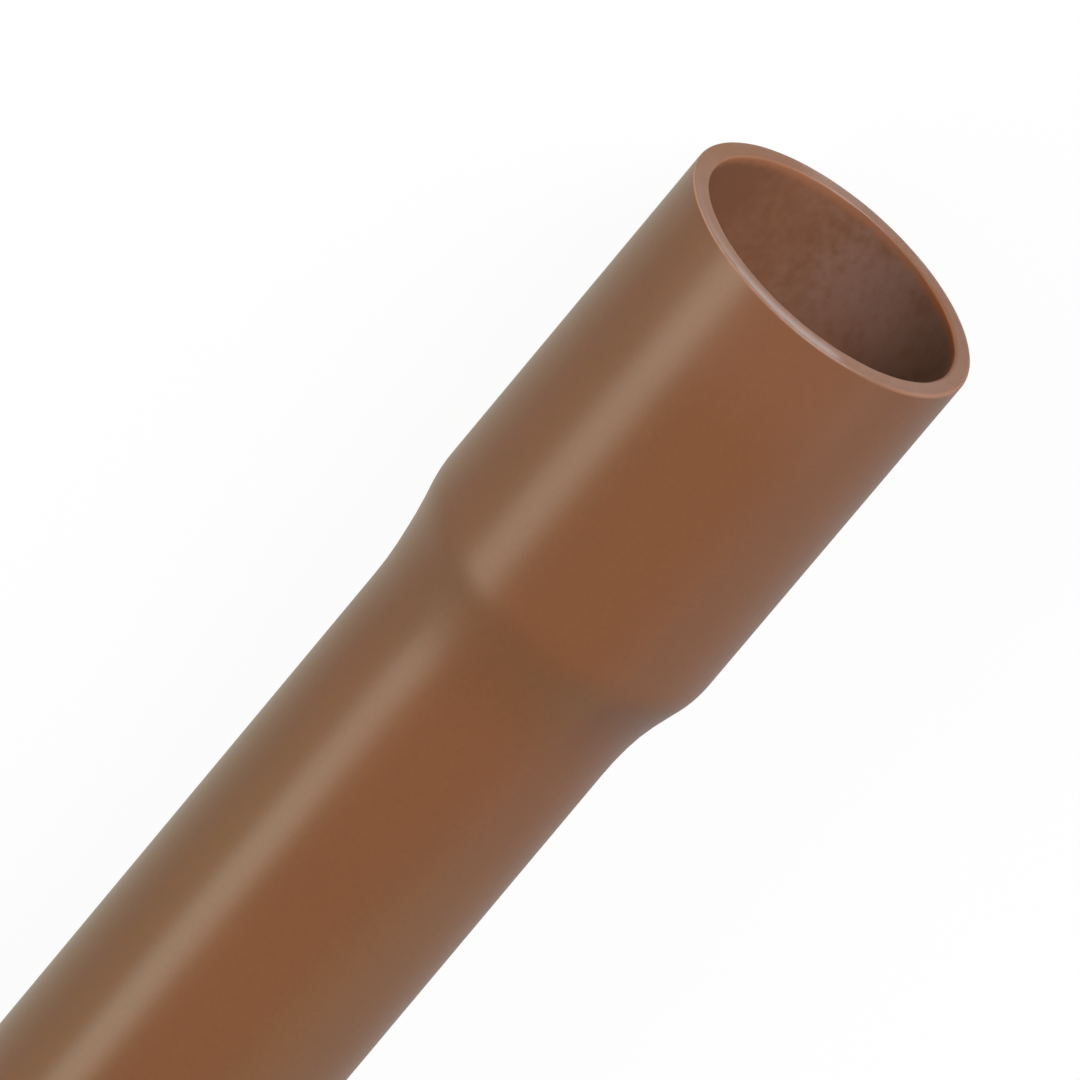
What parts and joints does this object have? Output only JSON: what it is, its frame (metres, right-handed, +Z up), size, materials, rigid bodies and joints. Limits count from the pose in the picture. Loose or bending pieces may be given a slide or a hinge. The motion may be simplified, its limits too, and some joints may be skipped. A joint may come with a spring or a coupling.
{
  "type": "pvc water pipe",
  "caption": "Length of rigid brown PVC cold-water pipe, with a formed socket at one end and a chamfered plain end at the other.",
  "frame": {"origin": "centre of the socket's mouth, on the pipe's axis and in the plane of the cut mouth", "axes": "+X along the pipe's axis, out of the socket's mouth; the pipe lies along X, and +Z is up"},
  "size_m": [3, 0.0286, 0.0286],
  "materials": {
    "brown_pvc": "satin"
  },
  "bodies": {
    "root": {"pipe": "brown_pvc"}
  },
  "joints": []
}
